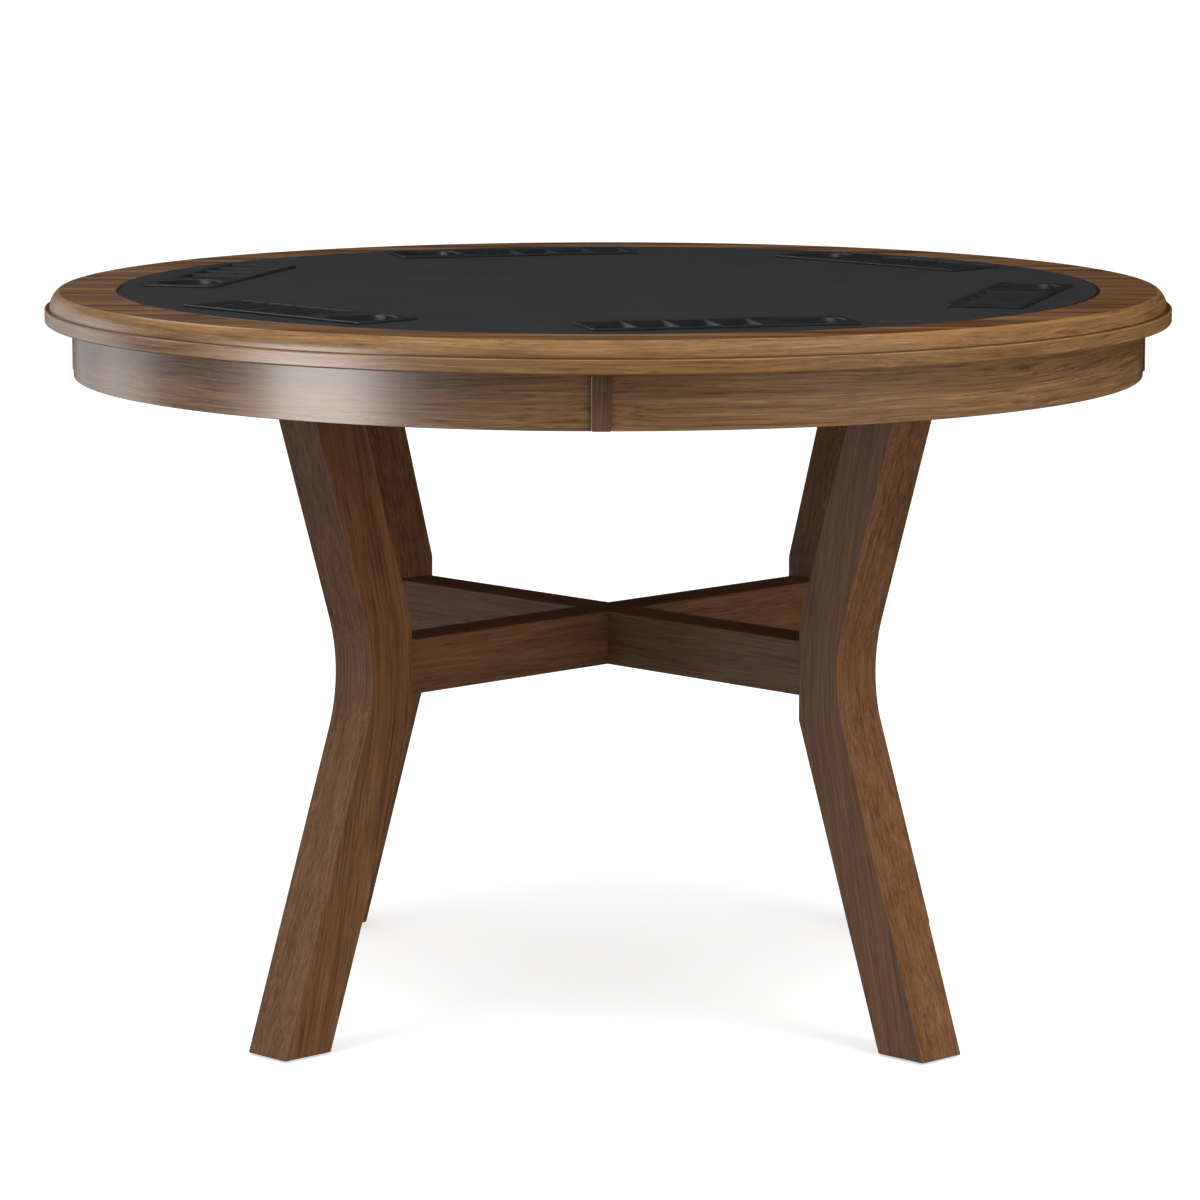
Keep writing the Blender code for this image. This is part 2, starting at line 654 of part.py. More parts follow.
def build_insert_boards(parent):
    """Make the insert's core, cloth, edge band and underside."""
    core_board = material("core_board", FIBREBOARD, roughness=0.70)
    cloth = material("playing_cloth", BLACK_CLOTH, roughness=0.95)
    band_finish = material("insert_band", BLACK_BAND, roughness=0.30)
    underside_veneer = material("underside_veneer", WOOD_TOP, roughness=0.40)

    mesh = bmesh.new()
    add_disc(mesh, CORE_RADIUS, CORE_BOTTOM, CORE_TOP)
    blank = finished_mesh(mesh, "insert_core", core_board)
    cut_core = combined("insert_core", blank, [("DIFFERENCE", station_pockets())])
    add_object("insert_core", cut_core, parent)

    mesh = bmesh.new()
    add_disc(mesh, CORE_RADIUS, CLOTH_BOTTOM, RIM_TOP)
    blank = finished_mesh(mesh, "playing_surface", cloth)
    cut_cloth = combined("playing_surface", blank, [("DIFFERENCE", station_pockets())])
    add_object("playing_surface", cut_cloth, parent)

    mesh = bmesh.new()
    add_disc(mesh, CORE_RADIUS, INSERT_BOTTOM, INSERT_BOTTOM + UNDERSIDE_THICKNESS)
    add_object("insert_underside", finished_mesh(mesh, "insert_underside", underside_veneer), parent)

    band_inner = INSERT_RADIUS - INSERT_BAND_THICKNESS
    round_centre = (INSERT_RADIUS - INSERT_BAND_ROUND, RIM_TOP - INSERT_BAND_ROUND)
    profile = [(band_inner, INSERT_BOTTOM), (INSERT_RADIUS, INSERT_BOTTOM)]
    profile += arc(round_centre, INSERT_BAND_ROUND, 0, 90, SMALL_ROUND_STEPS)
    profile.append((band_inner, RIM_TOP))
    sector_object("insert_edge_band", profile, 0, 360, TURNS, band_finish, parent)


def groove_cutters():
    """Cutters for the four grooves, which lie along the radial direction."""
    half_angle = math.degrees(math.acos((GROOVE_CENTRE_HEIGHT - TRAY_TOP) / GROOVE_RADIUS))
    section = arc((0, GROOVE_CENTRE_HEIGHT), GROOVE_RADIUS, 270 - half_angle, 270 + half_angle,
                  GROOVE_STEPS)
    above = TRAY_TOP + CUT_OVERSHOOT
    section = [(section[0][0], above), *section, (section[-1][0], above)]
    mesh = bmesh.new()
    for index in range(GROOVE_COUNT):
        offset = GROOVE_FIRST + index * GROOVE_PITCH
        place = Matrix.Translation((0, offset, 0)) @ ACROSS_X
        add_prism(mesh, section, -GROOVE_LENGTH / 2, GROOVE_LENGTH / 2, place)
    return finished_mesh(mesh, "groove_cutters", None)


def trough_shell():
    """Outer body of the four grooves: one scalloped solid."""
    radius = GROOVE_RADIUS + TRAY_WALL
    half_length = GROOVE_LENGTH / 2 + TRAY_WALL
    valley = math.degrees(math.asin(GROOVE_PITCH / 2 / radius))
    edge = math.degrees(math.acos((GROOVE_CENTRE_HEIGHT - TRAY_BOTTOM) / radius))
    outline = []
    for index in range(GROOVE_COUNT):
        centre = (GROOVE_FIRST + index * GROOVE_PITCH, GROOVE_CENTRE_HEIGHT)
        start = edge if index == 0 else valley
        end = edge if index == GROOVE_COUNT - 1 else valley
        points = arc(centre, radius, 270 - start, 270 + end, TROUGH_STEPS)
        outline += points if index == 0 else points[1:]
    outline = [(outline[0][0], TRAY_MIDDLE), *outline, (outline[-1][0], TRAY_MIDDLE)]
    mesh = bmesh.new()
    add_prism(mesh, outline, -half_length, half_length, ACROSS_X)
    return finished_mesh(mesh, "trough_shell", None)


def cup_solid(radius, low, high):
    """Upright cylinder at the cup holder's place in a tray."""
    mesh = bmesh.new()
    profile = [(0, low), (radius, low), (radius, high), (0, high)]
    add_turned(mesh, profile, CUP_SIDES, Matrix.Translation((0, CUP_OFFSET, 0)))
    return finished_mesh(mesh, "cup_solid", None)


def tray_mesh(finish):
    """Moulded tray about its own centre: a flange, four grooves and a cup holder."""
    mesh = bmesh.new()
    outline = rounded_rectangle(TRAY_WIDTH, TRAY_LENGTH, TRAY_CORNER)
    add_prism(mesh, outline, TRAY_BOTTOM, TRAY_TOP)
    flange = finished_mesh(mesh, "tray_flange", finish)
    steps = [
        ("UNION", trough_shell()),
        ("UNION", cup_solid(CUP_RADIUS + TRAY_WALL, CUP_FLOOR - TRAY_WALL, TRAY_MIDDLE)),
        ("DIFFERENCE", groove_cutters()),
        ("DIFFERENCE", cup_solid(CUP_RADIUS, CUP_FLOOR, TRAY_TOP + CUT_OVERSHOOT)),
    ]
    return combined("station_tray", flange, steps)


def build_trays(parent):
    """Make the six station trays."""
    plastic = material("tray_plastic", BLACK_PLASTIC, roughness=0.32)
    data = tray_mesh(plastic)
    for number, angle in enumerate(STATION_ANGLES, 1):
        tray = add_object(f"station_tray_{number}", data, parent, angle)
        tray.location = turned_point(angle, STATION_RADIUS, 0)


def clear_scene():
    """Start from an empty scene."""
    for existing in list(bpy.data.objects):
        bpy.data.objects.remove(existing)


def main():
    """Build the whole table."""
    clear_scene()
    frame = add_object("table_frame", None)
    insert = add_object("insert", None)
    build_rim(frame)
    build_apron(frame)
    build_ledge(frame)
    build_rails(frame)
    build_legs(frame)
    build_stretchers(frame)
    build_insert_boards(insert)
    build_trays(insert)


main()
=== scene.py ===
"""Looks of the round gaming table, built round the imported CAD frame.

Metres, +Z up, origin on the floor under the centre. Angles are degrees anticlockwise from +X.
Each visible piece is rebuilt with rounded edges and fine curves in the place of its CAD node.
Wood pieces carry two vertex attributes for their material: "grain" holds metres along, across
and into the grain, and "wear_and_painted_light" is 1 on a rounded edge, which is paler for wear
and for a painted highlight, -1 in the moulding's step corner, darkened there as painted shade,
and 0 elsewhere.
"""
import math

import bmesh
import bpy
import numpy as np
from mathutils import Matrix, Vector


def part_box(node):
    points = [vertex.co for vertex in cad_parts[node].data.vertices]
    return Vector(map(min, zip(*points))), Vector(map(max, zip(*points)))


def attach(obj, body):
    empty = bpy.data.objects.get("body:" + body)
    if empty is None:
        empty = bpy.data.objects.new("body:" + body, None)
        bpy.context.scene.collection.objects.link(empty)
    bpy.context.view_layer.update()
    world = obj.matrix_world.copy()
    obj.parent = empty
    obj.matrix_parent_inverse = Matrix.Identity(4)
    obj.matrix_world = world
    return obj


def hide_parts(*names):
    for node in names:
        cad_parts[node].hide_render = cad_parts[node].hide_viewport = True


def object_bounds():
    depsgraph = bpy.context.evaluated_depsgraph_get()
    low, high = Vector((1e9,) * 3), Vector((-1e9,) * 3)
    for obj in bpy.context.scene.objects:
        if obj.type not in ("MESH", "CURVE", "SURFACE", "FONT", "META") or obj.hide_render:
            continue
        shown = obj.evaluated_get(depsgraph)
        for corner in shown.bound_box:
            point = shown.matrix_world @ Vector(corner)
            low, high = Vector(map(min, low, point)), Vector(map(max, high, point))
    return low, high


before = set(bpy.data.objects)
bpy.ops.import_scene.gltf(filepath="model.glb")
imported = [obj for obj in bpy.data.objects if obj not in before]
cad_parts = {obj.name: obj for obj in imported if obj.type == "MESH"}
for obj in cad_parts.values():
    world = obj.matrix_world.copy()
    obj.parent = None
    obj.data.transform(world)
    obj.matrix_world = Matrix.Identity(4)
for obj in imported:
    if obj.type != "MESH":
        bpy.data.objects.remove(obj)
CAD_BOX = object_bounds()

TABLE = "table_frame"
INSERT = "insert"
QUARTERS = (1, 2, 3, 4)
STATIONS = (1, 2, 3, 4, 5, 6)

# Heights and radii that the CAD nodes give
RIM_LOW, RIM_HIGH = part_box("rim_panel")
RIM_BOTTOM, RIM_TOP, RIM_FLAT_RADIUS = RIM_LOW.z, RIM_HIGH.z, RIM_HIGH.x
TABLE_RADIUS = CAD_BOX[1].x
BAND_LOW, BAND_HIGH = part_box("insert_edge_band")
INSERT_RADIUS = BAND_HIGH.x
BATTEN_LOW, BATTEN_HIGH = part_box("apron_batten_1")
APRON_BOTTOM, APRON_TOP = BATTEN_LOW.z, BATTEN_HIGH.z
APRON_INNER_RADIUS = BATTEN_LOW.x
LEG_LOW, LEG_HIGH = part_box("leg_1")
STRETCHER_LOW, STRETCHER_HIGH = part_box("stretcher_a")
TRAY_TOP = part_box("station_tray_1")[1].z

# Clearances and the fineness of curves
HAIRLINE = 0.0001
RIM_STEPS = 288
QUARTER_STEPS = RIM_STEPS // 4
ROUND_STEPS = 5
SHARP_ANGLE = 40

# Rim and edge moulding: a convex crown, a narrow step and a flat band below it
RIM_INNER_RADIUS = 0.5322
RIM_ARRIS = 0.0009
CROWN_STEP_RADIUS = 0.6041
CROWN_STEP_TOP = 0.7603
CROWN_STEP_BOTTOM = 0.7598
CROWN_FLAT = 0.0008
# Reach of the painted shade that darkens the corner of the crown's step
CROWN_PAINTED_SHADE_REACH = 0.0010
CROWN_BEAD = 0.0014
CROWN_HEEL_ROUND = 0.0004
CROWN_ARRIS = 0.0003
CROWN_STEPS = 16
MOULDING_ROUND_STEPS = 8
BAND_ROUND = 0.0015
FOOT_ROUND = 0.0025

# Apron
APRON_OUTER_RADIUS = 0.5793
APRON_EDGE = 0.0010
BATTEN_WIDTH = 0.0200
BATTEN_EDGE = 0.0012

# Legs and stretchers
LEG_THICKNESS = 0.0594
LEG_EDGE = 0.0016
LEG_SECTIONS = 90
LEG_END_SHARES = (0.15, 0.5, 1.0)
LEG_CORNER_STEP = 0.002
WAIST_RADIUS = 0.36285
WAIST_HEIGHT = 0.3921
WAIST_ROUND = 0.190
UPPER_SLOPE = 0.3145
LOWER_SLOPE = 0.3468
INNER_FACE = 0.3165
INNER_FACE_LOW = 0.3420
INNER_FACE_HIGH = 0.4470
GRAIN_LEAN = 0.65
STRETCHER_THICKNESS = 0.0500
STRETCHER_EDGE = 0.0014

# Insert
BAND_THICKNESS = 0.0020
BAND_TOP_ROUND = 0.0015
BAND_FOOT_ROUND = 0.0004
BAND_INNER_ROUND = 0.0002
CLOTH_THICKNESS = 0.0020
CLOTH_EDGE = 0.0010
STATION_RADIUS = 0.4450
POCKET_LENGTH = 0.2740
POCKET_WIDTH = 0.0760
POCKET_CORNER = 0.0040

# Station trays
TRAY_LENGTH = 0.2800
TRAY_WIDTH = 0.0820
TRAY_CORNER = 0.0060
TRAY_EDGE = 0.0012
TRAY_WALL = 0.0014
TRAY_FIELD_LENGTH = 0.2730
TRAY_FIELD_WIDTH = 0.0770
GROOVE_RADIUS = 0.0205
GROOVE_DEPTH = 0.0165
GROOVE_LENGTH = 0.0710
GROOVE_PITCH = 0.0435
GROOVE_FIRST = -0.1125
GROOVE_COUNT = 4
GROOVE_LIP = 0.0008
GROOVE_HEEL = 0.0025
GROOVE_STEPS = 28
WALL_DRAFT = 0.0010
FIELD_MARGIN = 0.0010
CUP_OFFSET = 0.0995
CUP_RADIUS = 0.0345
CUP_DEPTH = 0.0280
CUP_LIP = 0.0014
CUP_HEEL = 0.0040
CUP_STEPS = 26
CUP_RIDGE_HEIGHT = 0.0008
CUP_RIDGE_OUTSIDE = (0.72, 0.70)
CUP_RIDGE_INSIDE = (0.30, 0.28)

# Camera, at the height and distance that the table is seen from
CAMERA_PLACE = (0.0649, -5.7337, 1.2877)
CAMERA_TILT_DOWN = 8.479
CAMERA_TURN = 0.737
CAMERA_LENS = 158.68
FLOOR_HALF = 90.0


# ---------------------------------------------------------------- outlines and meshes

def rounded_path(corners, steps=ROUND_STEPS, closed=True):
    """Round the corners (x, y, radius) of an outline. Returns points (x, y, worn_and_painted_light)."""
    points = []
    count = len(corners)
    for index, (x, y, radius) in enumerate(corners):
        end = not closed and index in (0, count - 1)
        if radius == 0 or end:
            points.append((x, y, 0.0))
            continue
        corner = Vector((x, y))
        before = (Vector(corners[index - 1][:2]) - corner).normalized()
        after = (Vector(corners[(index + 1) % count][:2]) - corner).normalized()
        half = before.angle(after) / 2
        centre = corner + (before + after).normalized() * radius / math.sin(half)
        start = corner + before * radius / math.tan(half) - centre
        sweep = start.angle_signed(corner + after * radius / math.tan(half) - centre)
        for step in range(steps + 1):
            arm = start.copy()
            arm.rotate(Matrix.Rotation(-sweep * step / steps, 2))
            # 1 at the middle of a rounding: the edge is paler there for wear and as a painted highlight
            worn_and_painted_light = math.sin(math.pi * step / steps)
            points.append((*(centre + arm), worn_and_painted_light))
    return points


def arc(centre, radius, start, end, steps):
    """Sharp outline corners along a circular arc."""
    corners = []
    for step in range(steps + 1):
        angle = math.radians(start + (end - start) * step / steps)
        x = centre[0] + radius * math.cos(angle)
        y = centre[1] + radius * math.sin(angle)
        corners.append((x, y, 0.0))
    return corners


def box_section(x_low, x_high, y_low, y_high, radius):
    """Rounded rectangle as outline points."""
    return rounded_path([(x_low, y_low, radius), (x_high, y_low, radius),
                         (x_high, y_high, radius), (x_low, y_high, radius)])


def quads(rings, wrap_rings=False, caps=True):
    """Vertices and faces of a skin over rings of points, each ring closed on itself."""
    rings = np.asarray(rings, float)
    ring_count, point_count = rings.shape[:2]
    faces = []
    for ring in range(ring_count if wrap_rings else ring_count - 1):
        here = ring * point_count
        there = (ring + 1) % ring_count * point_count
        for point in range(point_count):
            following = (point + 1) % point_count
            faces.append((here + point, here + following, there + following, there + point))
    if caps and not wrap_rings:
        faces.append(tuple(range(point_count)))
        last = (ring_count - 1) * point_count
        faces.append(tuple(range(last, last + point_count)))
    return rings.reshape(-1, 3), faces


def store(data, name, kind, field, values):
    """Add a vertex attribute."""
    attribute = data.attributes.new(name, kind, "POINT")
    attribute.data.foreach_set(field, np.asarray(values, np.float32).ravel())


def piece(name, vertices, faces, finish, grain=None, wear_and_painted_light=None, merge=1e-6):
    """Make a smooth mesh object with outward faces and its grain and wear_and_painted_light attributes.
    """
    data = bpy.data.meshes.new(name)
    data.from_pydata([tuple(vertex) for vertex in vertices], [], faces)
    if grain is not None:
        store(data, "grain", "FLOAT_VECTOR", "vector", grain)
        store(data, "wear_and_painted_light", "FLOAT", "value", np.zeros(len(vertices)) if wear_and_painted_light is None else wear_and_painted_light)
    mesh = bmesh.new()
    mesh.from_mesh(data)
    bmesh.ops.remove_doubles(mesh, verts=mesh.verts, dist=merge)
    bmesh.ops.recalc_face_normals(mesh, faces=mesh.faces)
    mesh.to_mesh(data)
    mesh.free()
    return shown(name, data, finish)


def shown(name, data, finish):
    """Link a mesh, smooth over its rounded edges and sharp at its plain ones."""
    data.materials.append(finish)
    data.shade_smooth()
    data.set_sharp_from_angle(angle=math.radians(SHARP_ANGLE))
    made = bpy.data.objects.new(name, data)
    bpy.context.collection.objects.link(made)
    even = made.modifiers.new("even_normals", "WEIGHTED_NORMAL")
    even.keep_sharp = True
    return made


def stand_in(made, node, body):
    """Let a piece stand for a CAD node."""
    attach(made, body)
    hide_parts(node)


def swept(name, profile, start, sweep, steps, finish, straight_grain=False, offset=(0, 0, 0)):
    """Sweep (radius, height, worn_and_painted_light) points round the table's axis, with grain along the
    arc.
    """
    full = sweep == 360
    count = steps if full else steps + 1
    angles = np.radians(start + sweep * np.arange(count) / steps)
    radius, height, worn_and_painted_light = np.array(profile).T
    points = np.stack([np.outer(np.cos(angles), radius), np.outer(np.sin(angles), radius),
                       np.tile(height, (count, 1))], axis=2)
    if straight_grain:
        grain = points.copy()
    else:
        grain = np.stack([np.outer(angles, np.full(len(radius), radius.max())),
                          np.tile(height, (count, 1)), np.tile(radius, (count, 1))], axis=2)
    vertices, faces = quads(points, wrap_rings=full)
    wear_and_painted_light = np.tile(worn_and_painted_light, count)
    return piece(name, vertices, faces, finish, grain.reshape(-1, 3) + np.array(offset), wear_and_painted_light)


def turned_to(made, angle):
    """Turn a piece about the table's axis."""
    made.matrix_world = Matrix.Rotation(math.radians(angle), 4, "Z") @ made.matrix_world
    return made


# ---------------------------------------------------------------- materials

class Finish:
    """A material's node tree, with short calls that add nodes and join them."""

    def __init__(self, name):
        self.material = bpy.data.materials.new(name)
        self.material.use_nodes = True
        self.tree = self.material.node_tree
        self.shader = self.tree.nodes["Principled BSDF"]

    def put(self, socket, value):
        """Join a socket to another, or set its value."""
        if isinstance(value, bpy.types.NodeSocket):
            self.tree.links.new(value, socket)
        else:
            socket.default_value = value

    def add(self, kind, inputs, **settings):
        """Add a node with its settings and inputs."""
        made = self.tree.nodes.new("ShaderNode" + kind)
        for key, value in settings.items():
            setattr(made, key, value)
        for socket, value in inputs.items():
            self.put(made.inputs[socket], value)
        return made

    def set(self, **values):
        """Set the shader's own sockets; an underscore stands for a space."""
        for key, value in values.items():
            self.put(self.shader.inputs[key.replace("_", " ")], value)

    def attribute(self, name, output):
        return self.add("Attribute", {}, attribute_name=name).outputs[output]

    def place(self):
        """Position on the piece, in metres."""
        return self.add("TexCoord", {}).outputs["Object"]

    def stretched(self, vector, scale, shift=(0, 0, 0)):
        return self.add("Mapping", {"Vector": vector, "Scale": scale, "Location": shift}).outputs[0]

    def noise(self, vector, scale, detail=3.0, rough=0.55, distortion=0.0):
        return self.add("TexNoise", {"Vector": vector, "Scale": scale, "Detail": detail,
                                     "Roughness": rough, "Distortion": distortion}).outputs["Fac"]

    def math(self, operation, first, second=0.0):
        return self.add("Math", {0: first, 1: second}, operation=operation).outputs[0]

    def spread(self, value, low, high, to_low=0.0, to_high=1.0):
        """Map a range of a value on to another range."""
        return self.add("MapRange", {"Value": value, "From Min": low, "From Max": high,
                                     "To Min": to_low, "To Max": to_high}).outputs["Result"]

    def ramp(self, value, stops):
        """Colour ramp through (position, colour) stops."""
        made = self.add("ValToRGB", {"Fac": value})
        band = made.color_ramp
        while len(band.elements) < len(stops):
            band.elements.new(0.5)
        for element, (position, colour) in zip(band.elements, stops):
            element.position = position
            element.color = (*colour, 1.0)
        return made.outputs["Color"]

    def mix(self, factor, first, second, blend="MIX"):
        """Mix two colours."""
        made = self.tree.nodes.new("ShaderNodeMix")
        made.data_type = "RGBA"
        made.blend_type = blend
        self.put(made.inputs[0], factor)
        self.put(made.inputs[6], first)
        self.put(made.inputs[7], second)
        return made.outputs[2]

    def bump(self, height, strength, distance):
        made = self.add("Bump", {"Height": height, "Strength": strength, "Distance": distance})
        self.put(self.shader.inputs["Normal"], made.outputs["Normal"])


def scaled(colour, factor):
    """A colour made lighter or darker."""
    return tuple(channel * factor for channel in colour)


# Noise scales along, across and into the grain
WANDER_SCALE = (2.2, 16, 16)
FIGURE_SCALE = (1.8, 36, 36)
LINE_SCALE = (4.5, 230, 230)
STREAK_SCALE = (12, 560, 560)
PORE_SCALE = (34, 1500, 1500)
CLOUD_SCALE = (2.5, 9, 9)
CLOUD_SHIFT = (3.1, 1.7, 0.4)
UNSTRETCHED = (1, 1, 1)

WANDER = 0.030
TONE_WIDTH = 0.105
# Rounded edges drawn paler, for wear and as a painted highlight on the arris
EDGE_PALER = 2.0
EDGE_SHARE = 0.22
# How dark the painted shade in the moulding's step corner is
PAINTED_SHADE_DARKER = 0.34


def wood(name, colour, roughness, contrast=1.0, figure=1.0, shares=(0.24, 0.36, 0.40), coat=0.2,
         gloss=0.42, from_place=None):
    """Lacquered wood: wandering growth lines, fine streaks, pores, edges paler for wear and for a painted
    highlight, and painted shade in corners.

    The shares weigh broad figure, lines and fine streaks. The grain comes from the piece's grain
    attribute, or from its own axes times from_place.
    """
    finish = Finish(name)
    if from_place:
        grain = finish.stretched(finish.place(), from_place)
    else:
        grain = finish.attribute("grain", "Vector")

    # Growth lines wander slowly along the board
    drift = finish.noise(finish.stretched(grain, WANDER_SCALE), 1.0, 2.0)
    axes = finish.add("SeparateXYZ", {"Vector": grain})
    wander = finish.math("MULTIPLY", finish.math("SUBTRACT", drift, 0.5), WANDER * figure)
    across = finish.math("ADD", axes.outputs["Y"], wander)
    into = finish.math("ADD", axes.outputs["Z"], finish.math("MULTIPLY", wander, 0.7))
    flowing = finish.add("CombineXYZ", {"X": axes.outputs["X"], "Y": across, "Z": into}).outputs[0]

    broad = finish.noise(finish.stretched(flowing, FIGURE_SCALE), 1.0, 3.0, 0.6)
    lines = finish.noise(finish.stretched(flowing, LINE_SCALE), 1.0, 3.0, 0.6)
    fine = finish.noise(finish.stretched(flowing, STREAK_SCALE), 1.0, 2.0, 0.6)
    pores = finish.noise(finish.stretched(flowing, PORE_SCALE), 1.0, 2.0, 0.5)

    mixed = finish.math("MULTIPLY", broad, shares[0])
    mixed = finish.math("ADD", mixed, finish.math("MULTIPLY", lines, shares[1]))
    mixed = finish.math("ADD", mixed, finish.math("MULTIPLY", fine, shares[2]))
    width = TONE_WIDTH / contrast
    tone = finish.spread(mixed, 0.5 - width, 0.5 + width)
    dark = (colour[0] * 0.52, colour[1] * 0.46, colour[2] * 0.44)
    light = (colour[0] * 1.45, colour[1] * 1.55, colour[2] * 1.60)
    shade = finish.ramp(tone, [(0.0, dark), (0.45, scaled(colour, 0.92)), (0.72, scaled(colour, 1.12)),
                               (1.0, light)])

    # Slow change of colour over the board, dark pore lines, edges paler for wear and for a painted
    # highlight, and painted shade in corners
    cloud = finish.noise(finish.stretched(grain, CLOUD_SCALE, CLOUD_SHIFT), 1.0, 2.0)
    warm = finish.mix(finish.spread(cloud, 0.3, 0.7), (0.90, 0.88, 0.88, 1), (1.10, 1.13, 1.12, 1))
    shade = finish.mix(1.0, shade, warm, "MULTIPLY")
    pore_dark = finish.spread(pores, 0.34, 0.46, 0.60, 1.0)
    shade = finish.mix(1.0, shade, pore_dark, "MULTIPLY")
    # Paler rounded edges for wear and as a painted highlight; -1 gives painted shade in the step corner
    wear_and_painted_light = finish.attribute("wear_and_painted_light", "Fac")
    rubbed_and_highlit = finish.math("MULTIPLY", finish.spread(wear_and_painted_light, 0.0, 1.0), finish.spread(cloud, 0.25, 0.65))
    paler = (*scaled(colour, EDGE_PALER), 1)
    shade = finish.mix(finish.math("MULTIPLY", rubbed_and_highlit, EDGE_SHARE), shade, paler)
    # Painted shade: the step corner under the crown is drawn darker
    painted_shade = (*scaled(colour, PAINTED_SHADE_DARKER), 1)
    shade = finish.mix(finish.spread(wear_and_painted_light, 0.0, -1.0), shade, painted_shade)
    finish.set(Base_Color=shade, Roughness=finish.spread(fine, 0.2, 0.8, roughness - 0.05,
                                                        roughness + 0.09))
    finish.set(Coat_Weight=coat, Coat_Roughness=0.22, IOR=1.5, Specular_IOR_Level=gloss)
    height = finish.math("ADD", finish.math("MULTIPLY", pore_dark, 0.6), fine)
    finish.bump(height, 0.22, 0.00025)
    return finish.material


def cloth_finish():
    """Black microfibre speed cloth: short nap, faint mottling and sheen."""
    finish = Finish("playing_cloth")
    place = finish.place()
    nap = finish.noise(place, 1500.0, 3.0, 0.7)
    thread = finish.noise(finish.stretched(place, (420, 900, 420)), 1.0, 2.0)
    mottle = finish.noise(place, 9.0, 4.0, 0.6)
    tone = finish.math("ADD", finish.math("MULTIPLY", nap, 0.35), finish.math("MULTIPLY", mottle, 0.65))
    shade = finish.ramp(finish.spread(tone, 0.3, 0.7), [(0.0, (0.0095, 0.0095, 0.0097)),
                                                        (1.0, (0.0165, 0.0162, 0.0162))])
    finish.set(Base_Color=shade, Roughness=finish.spread(nap, 0.2, 0.8, 0.86, 0.97),
               Specular_IOR_Level=0.12, Sheen_Weight=0.05, Sheen_Roughness=0.45,
               Sheen_Tint=(0.75, 0.75, 0.78, 1))
    finish.bump(finish.math("ADD", nap, thread), 0.35, 0.0002)
    return finish.material


def plastic_finish(name, shade, roughness, grain_strength=0.18):
    """Moulded plastic with a fine spark-eroded texture and faint handling marks."""
    finish = Finish(name)
    place = finish.place()
    texture = finish.noise(place, 2600.0, 2.0, 0.6)
    smear = finish.noise(finish.stretched(place, (30, 90, 60)), 1.0, 4.0, 0.65)
    base = finish.ramp(smear, [(0.25, scaled(shade, 0.85)), (0.75, scaled(shade, 1.20))])
    finish.set(Base_Color=base, Roughness=finish.spread(smear, 0.3, 0.7, roughness - 0.05,
                                                       roughness + 0.07),
               IOR=1.49, Specular_IOR_Level=0.5)
    finish.bump(texture, grain_strength, 0.0001)
    return finish.material


def metal_finish(name, colour, roughness):
    """Plated steel with fine turning marks."""
    finish = Finish(name)
    marks = finish.noise(finish.stretched(finish.place(), (300, 300, 2600)), 1.0, 3.0, 0.6)
    shade = finish.ramp(marks, [(0.3, scaled(colour, 0.8)), (0.7, scaled(colour, 1.15))])
    finish.set(Base_Color=shade, Metallic=1.0, Roughness=finish.spread(marks, 0.2, 0.8, roughness - 0.08,
                                                                      roughness + 0.1))
    finish.bump(marks, 0.1, 0.0001)
    return finish.material


# Linear colours
RIM_BROWN = (0.156, 0.074, 0.031)
EDGE_BROWN = (0.272, 0.138, 0.050)
APRON_BROWN = (0.298, 0.158, 0.068)
BATTEN_BROWN = (0.172, 0.086, 0.040)
LEG_BROWN = (0.222, 0.104, 0.045)
STRETCHER_BROWN = (0.198, 0.094, 0.042)
RAW_WOOD = (0.380, 0.240, 0.120)
BOARD_BROWN = (0.300, 0.200, 0.110)

finishes = {
    "rim_veneer": wood("rim_veneer", RIM_BROWN, 0.45, contrast=1.4, figure=0.6, shares=(0.62, 0.25, 0.13),
                       coat=0.0, gloss=0.2),
    "edge_wood": wood("edge_wood", EDGE_BROWN, 0.36, contrast=0.75, figure=1.4, coat=0.25),
    "apron_veneer": wood("apron_veneer", APRON_BROWN, 0.33, contrast=0.85, figure=1.4, coat=0.28),
    "batten_wood": wood("batten_wood", BATTEN_BROWN, 0.42, figure=0.4),
    "leg_wood": wood("leg_wood", LEG_BROWN, 0.45, contrast=0.8, figure=0.9, coat=0.0, gloss=0.1),
    "stretcher_wood": wood("stretcher_wood", STRETCHER_BROWN, 0.45, contrast=0.65, figure=0.8, coat=0.0,
                           gloss=0.1),
    "raw_wood": wood("raw_wood", RAW_WOOD, 0.62, contrast=0.7, coat=0.0, from_place=UNSTRETCHED),
    "core_board": wood("core_board", BOARD_BROWN, 0.70, contrast=0.4, coat=0.0, from_place=UNSTRETCHED),
    "underside_veneer": wood("underside_veneer", APRON_BROWN, 0.45, from_place=UNSTRETCHED),
    "playing_cloth": cloth_finish(),
    "edge_band": plastic_finish("edge_band", (0.020, 0.020, 0.021), 0.32, grain_strength=0.05),
    "tray_plastic": plastic_finish("tray_plastic", (0.022, 0.022, 0.024), 0.33),
    "glide_nylon": plastic_finish("glide_nylon", (0.050, 0.045, 0.040), 0.55),
    "screw_steel": metal_finish("screw_steel", (0.55, 0.53, 0.48), 0.35),
    "bolt_steel": metal_finish("bolt_steel", (0.20, 0.20, 0.21), 0.40),
}


# ---------------------------------------------------------------- rim and apron

def build_rim():
    """Flat veneered rim ring."""
    profile = rounded_path([(RIM_INNER_RADIUS, RIM_BOTTOM, RIM_ARRIS / 2),
                            (RIM_FLAT_RADIUS, RIM_BOTTOM, RIM_ARRIS / 2),
                            (RIM_FLAT_RADIUS, RIM_TOP, RIM_ARRIS / 3),
                            (RIM_INNER_RADIUS, RIM_TOP, RIM_ARRIS)])
    ring = swept("rim_veneer_ring", profile, 0, 360, RIM_STEPS, finishes["rim_veneer"],
                 straight_grain=True)
    stand_in(ring, "rim_panel", TABLE)


